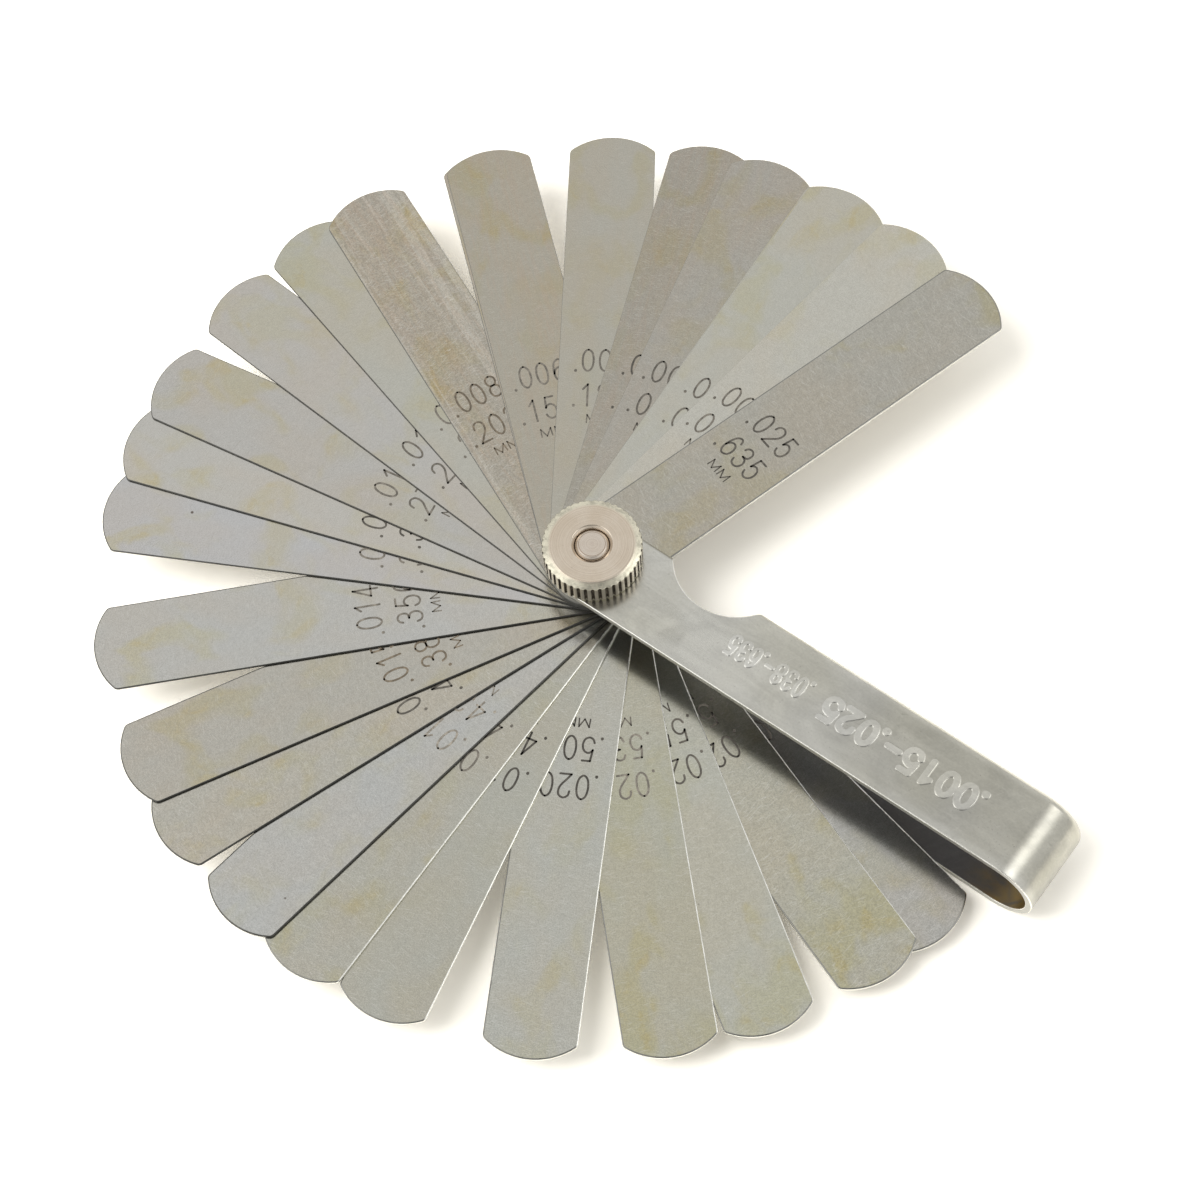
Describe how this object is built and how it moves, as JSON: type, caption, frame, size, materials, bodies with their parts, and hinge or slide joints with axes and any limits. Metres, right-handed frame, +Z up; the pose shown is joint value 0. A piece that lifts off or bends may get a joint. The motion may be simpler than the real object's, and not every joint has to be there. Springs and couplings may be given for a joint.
{
  "type": "feeler gauge",
  "caption": "Pocket feeler gauge: round-tipped steel leaves fanned out on a pivot screw, locked by a knurled nut, folding into a U-shaped steel strip case with a thumb notch.",
  "frame": {"origin": "on the pivot axis, at the middle of the underside of the pivot screw's head, on which the gauge rests", "axes": "+Z up along the pivot axis from the screw's head to the nut, +X along the case from the pivot to its fold, +Y to the side that has the thumb notch"},
  "size_m": [0.1471, 0.1411, 0.0163],
  "materials": {
    "case_steel": "satin ground steel strip",
    "leaf_steel": "fine ground spring steel with light tarnish",
    "nut_nickel": "satin nickel plate over knurled steel",
    "screw_steel": "turned steel"
  },
  "bodies": {
    "case": {"case": "case_steel", "pivot_screw": "screw_steel"},
    "lock_nut": {"lock_nut": "nut_nickel"},
    "leaf_0250": {"leaf_0250": "leaf_steel"},
    "leaf_0015": {"leaf_0015": "leaf_steel"},
    "leaf_0020": {"leaf_0020": "leaf_steel"},
    "leaf_0025": {"leaf_0025": "leaf_steel"},
    "leaf_0030": {"leaf_0030": "leaf_steel"},
    "leaf_0040": {"leaf_0040": "leaf_steel"},
    "leaf_0050": {"leaf_0050": "leaf_steel"},
    "leaf_0060": {"leaf_0060": "leaf_steel"},
    "leaf_0070": {"leaf_0070": "leaf_steel"},
    "leaf_0080": {"leaf_0080": "leaf_steel"},
    "leaf_0090": {"leaf_0090": "leaf_steel"},
    "leaf_0100": {"leaf_0100": "leaf_steel"},
    "leaf_0110": {"leaf_0110": "leaf_steel"},
    "leaf_0120": {"leaf_0120": "leaf_steel"},
    "leaf_0130": {"leaf_0130": "leaf_steel"},
    "leaf_0140": {"leaf_0140": "leaf_steel"},
    "leaf_0150": {"leaf_0150": "leaf_steel"},
    "leaf_0160": {"leaf_0160": "leaf_steel"},
    "leaf_0170": {"leaf_0170": "leaf_steel"},
    "leaf_0180": {"leaf_0180": "leaf_steel"},
    "leaf_0190": {"leaf_0190": "leaf_steel"},
    "leaf_0200": {"leaf_0200": "leaf_steel"},
    "leaf_0210": {"leaf_0210": "leaf_steel"},
    "leaf_0220": {"leaf_0220": "leaf_steel"},
    "leaf_0230": {"leaf_0230": "leaf_steel"},
    "leaf_0240": {"leaf_0240": "leaf_steel"}
  },
  "joints": [
    {"name": "nut_turn", "type": "hinge", "parent": "case", "child": "lock_nut", "pos_m": [0, 0, 0.01239], "axis": [0, 0, 1], "range_deg": [0, 360]},
    {"name": "leaf_0250_swing", "type": "hinge", "parent": "case", "child": "leaf_0250", "pos_m": [0, 0, 0.0025], "axis": [0, 0, 1], "range_deg": [-72.9, 287.1]},
    {"name": "leaf_0015_swing", "type": "hinge", "parent": "case", "child": "leaf_0015", "pos_m": [0, 0, 0.0025], "axis": [0, 0, 1], "range_deg": [-83.1, 276.9]},
    {"name": "leaf_0020_swing", "type": "hinge", "parent": "case", "child": "leaf_0020", "pos_m": [0, 0, 0.0025], "axis": [0, 0, 1], "range_deg": [-93.4, 266.6]},
    {"name": "leaf_0025_swing", "type": "hinge", "parent": "case", "child": "leaf_0025", "pos_m": [0, 0, 0.0025], "axis": [0, 0, 1], "range_deg": [-93.6, 266.4]},
    {"name": "leaf_0030_swing", "type": "hinge", "parent": "case", "child": "leaf_0030", "pos_m": [0, 0, 0.0025], "axis": [0, 0, 1], "range_deg": [-103.7, 256.3]},
    {"name": "leaf_0040_swing", "type": "hinge", "parent": "case", "child": "leaf_0040", "pos_m": [0, 0, 0.0025], "axis": [0, 0, 1], "range_deg": [-111.4, 248.6]},
    {"name": "leaf_0050_swing", "type": "hinge", "parent": "case", "child": "leaf_0050", "pos_m": [0, 0, 0.0025], "axis": [0, 0, 1], "range_deg": [-123.9, 236.1]},
    {"name": "leaf_0060_swing", "type": "hinge", "parent": "case", "child": "leaf_0060", "pos_m": [0, 0, 0.0025], "axis": [0, 0, 1], "range_deg": [-139.6, 220.4]},
    {"name": "leaf_0070_swing", "type": "hinge", "parent": "case", "child": "leaf_0070", "pos_m": [0, 0, 0.0025], "axis": [0, 0, 1], "range_deg": [-140, 220]},
    {"name": "leaf_0080_swing", "type": "hinge", "parent": "case", "child": "leaf_0080", "pos_m": [0, 0, 0.0025], "axis": [0, 0, 1], "range_deg": [-155.9, 204.1]},
    {"name": "leaf_0090_swing", "type": "hinge", "parent": "case", "child": "leaf_0090", "pos_m": [0, 0, 0.0025], "axis": [0, 0, 1], "range_deg": [-164.4, 195.6]},
    {"name": "leaf_0100_swing", "type": "hinge", "parent": "case", "child": "leaf_0100", "pos_m": [0, 0, 0.0025], "axis": [0, 0, 1], "range_deg": [-176.1, 183.9]},
    {"name": "leaf_0110_swing", "type": "hinge", "parent": "case", "child": "leaf_0110", "pos_m": [0, 0, 0.0025], "axis": [0, 0, 1], "range_deg": [-189.3, 170.7]},
    {"name": "leaf_0120_swing", "type": "hinge", "parent": "case", "child": "leaf_0120", "pos_m": [0, 0, 0.0025], "axis": [0, 0, 1], "range_deg": [-197.9, 162.1]},
    {"name": "leaf_0130_swing", "type": "hinge", "parent": "case", "child": "leaf_0130", "pos_m": [0, 0, 0.0025], "axis": [0, 0, 1], "range_deg": [-207.3, 152.7]},
    {"name": "leaf_0140_swing", "type": "hinge", "parent": "case", "child": "leaf_0140", "pos_m": [0, 0, 0.0025], "axis": [0, 0, 1], "range_deg": [-225.3, 134.7]},
    {"name": "leaf_0150_swing", "type": "hinge", "parent": "case", "child": "leaf_0150", "pos_m": [0, 0, 0.0025], "axis": [0, 0, 1], "range_deg": [-240.5, 119.5]},
    {"name": "leaf_0160_swing", "type": "hinge", "parent": "case", "child": "leaf_0160", "pos_m": [0, 0, 0.0025], "axis": [0, 0, 1], "range_deg": [-249.7, 110.3]},
    {"name": "leaf_0170_swing", "type": "hinge", "parent": "case", "child": "leaf_0170", "pos_m": [0, 0, 0.0025], "axis": [0, 0, 1], "range_deg": [-261.8, 98.2]},
    {"name": "leaf_0180_swing", "type": "hinge", "parent": "case", "child": "leaf_0180", "pos_m": [0, 0, 0.0025], "axis": [0, 0, 1], "range_deg": [-271.1, 88.9]},
    {"name": "leaf_0190_swing", "type": "hinge", "parent": "case", "child": "leaf_0190", "pos_m": [0, 0, 0.0025], "axis": [0, 0, 1], "range_deg": [-281.8, 78.2]},
    {"name": "leaf_0200_swing", "type": "hinge", "parent": "case", "child": "leaf_0200", "pos_m": [0, 0, 0.0025], "axis": [0, 0, 1], "range_deg": [-299, 61]},
    {"name": "leaf_0210_swing", "type": "hinge", "parent": "case", "child": "leaf_0210", "pos_m": [0, 0, 0.0025], "axis": [0, 0, 1], "range_deg": [-314.6, 45.4]},
    {"name": "leaf_0220_swing", "type": "hinge", "parent": "case", "child": "leaf_0220", "pos_m": [0, 0, 0.0025], "axis": [0, 0, 1], "range_deg": [-325.9, 34.1]},
    {"name": "leaf_0230_swing", "type": "hinge", "parent": "case", "child": "leaf_0230", "pos_m": [0, 0, 0.0025], "axis": [0, 0, 1], "range_deg": [-339.7, 20.3]},
    {"name": "leaf_0240_swing", "type": "hinge", "parent": "case", "child": "leaf_0240", "pos_m": [0, 0, 0.0025], "axis": [0, 0, 1], "range_deg": [-347.7, 12.3]}
  ]
}
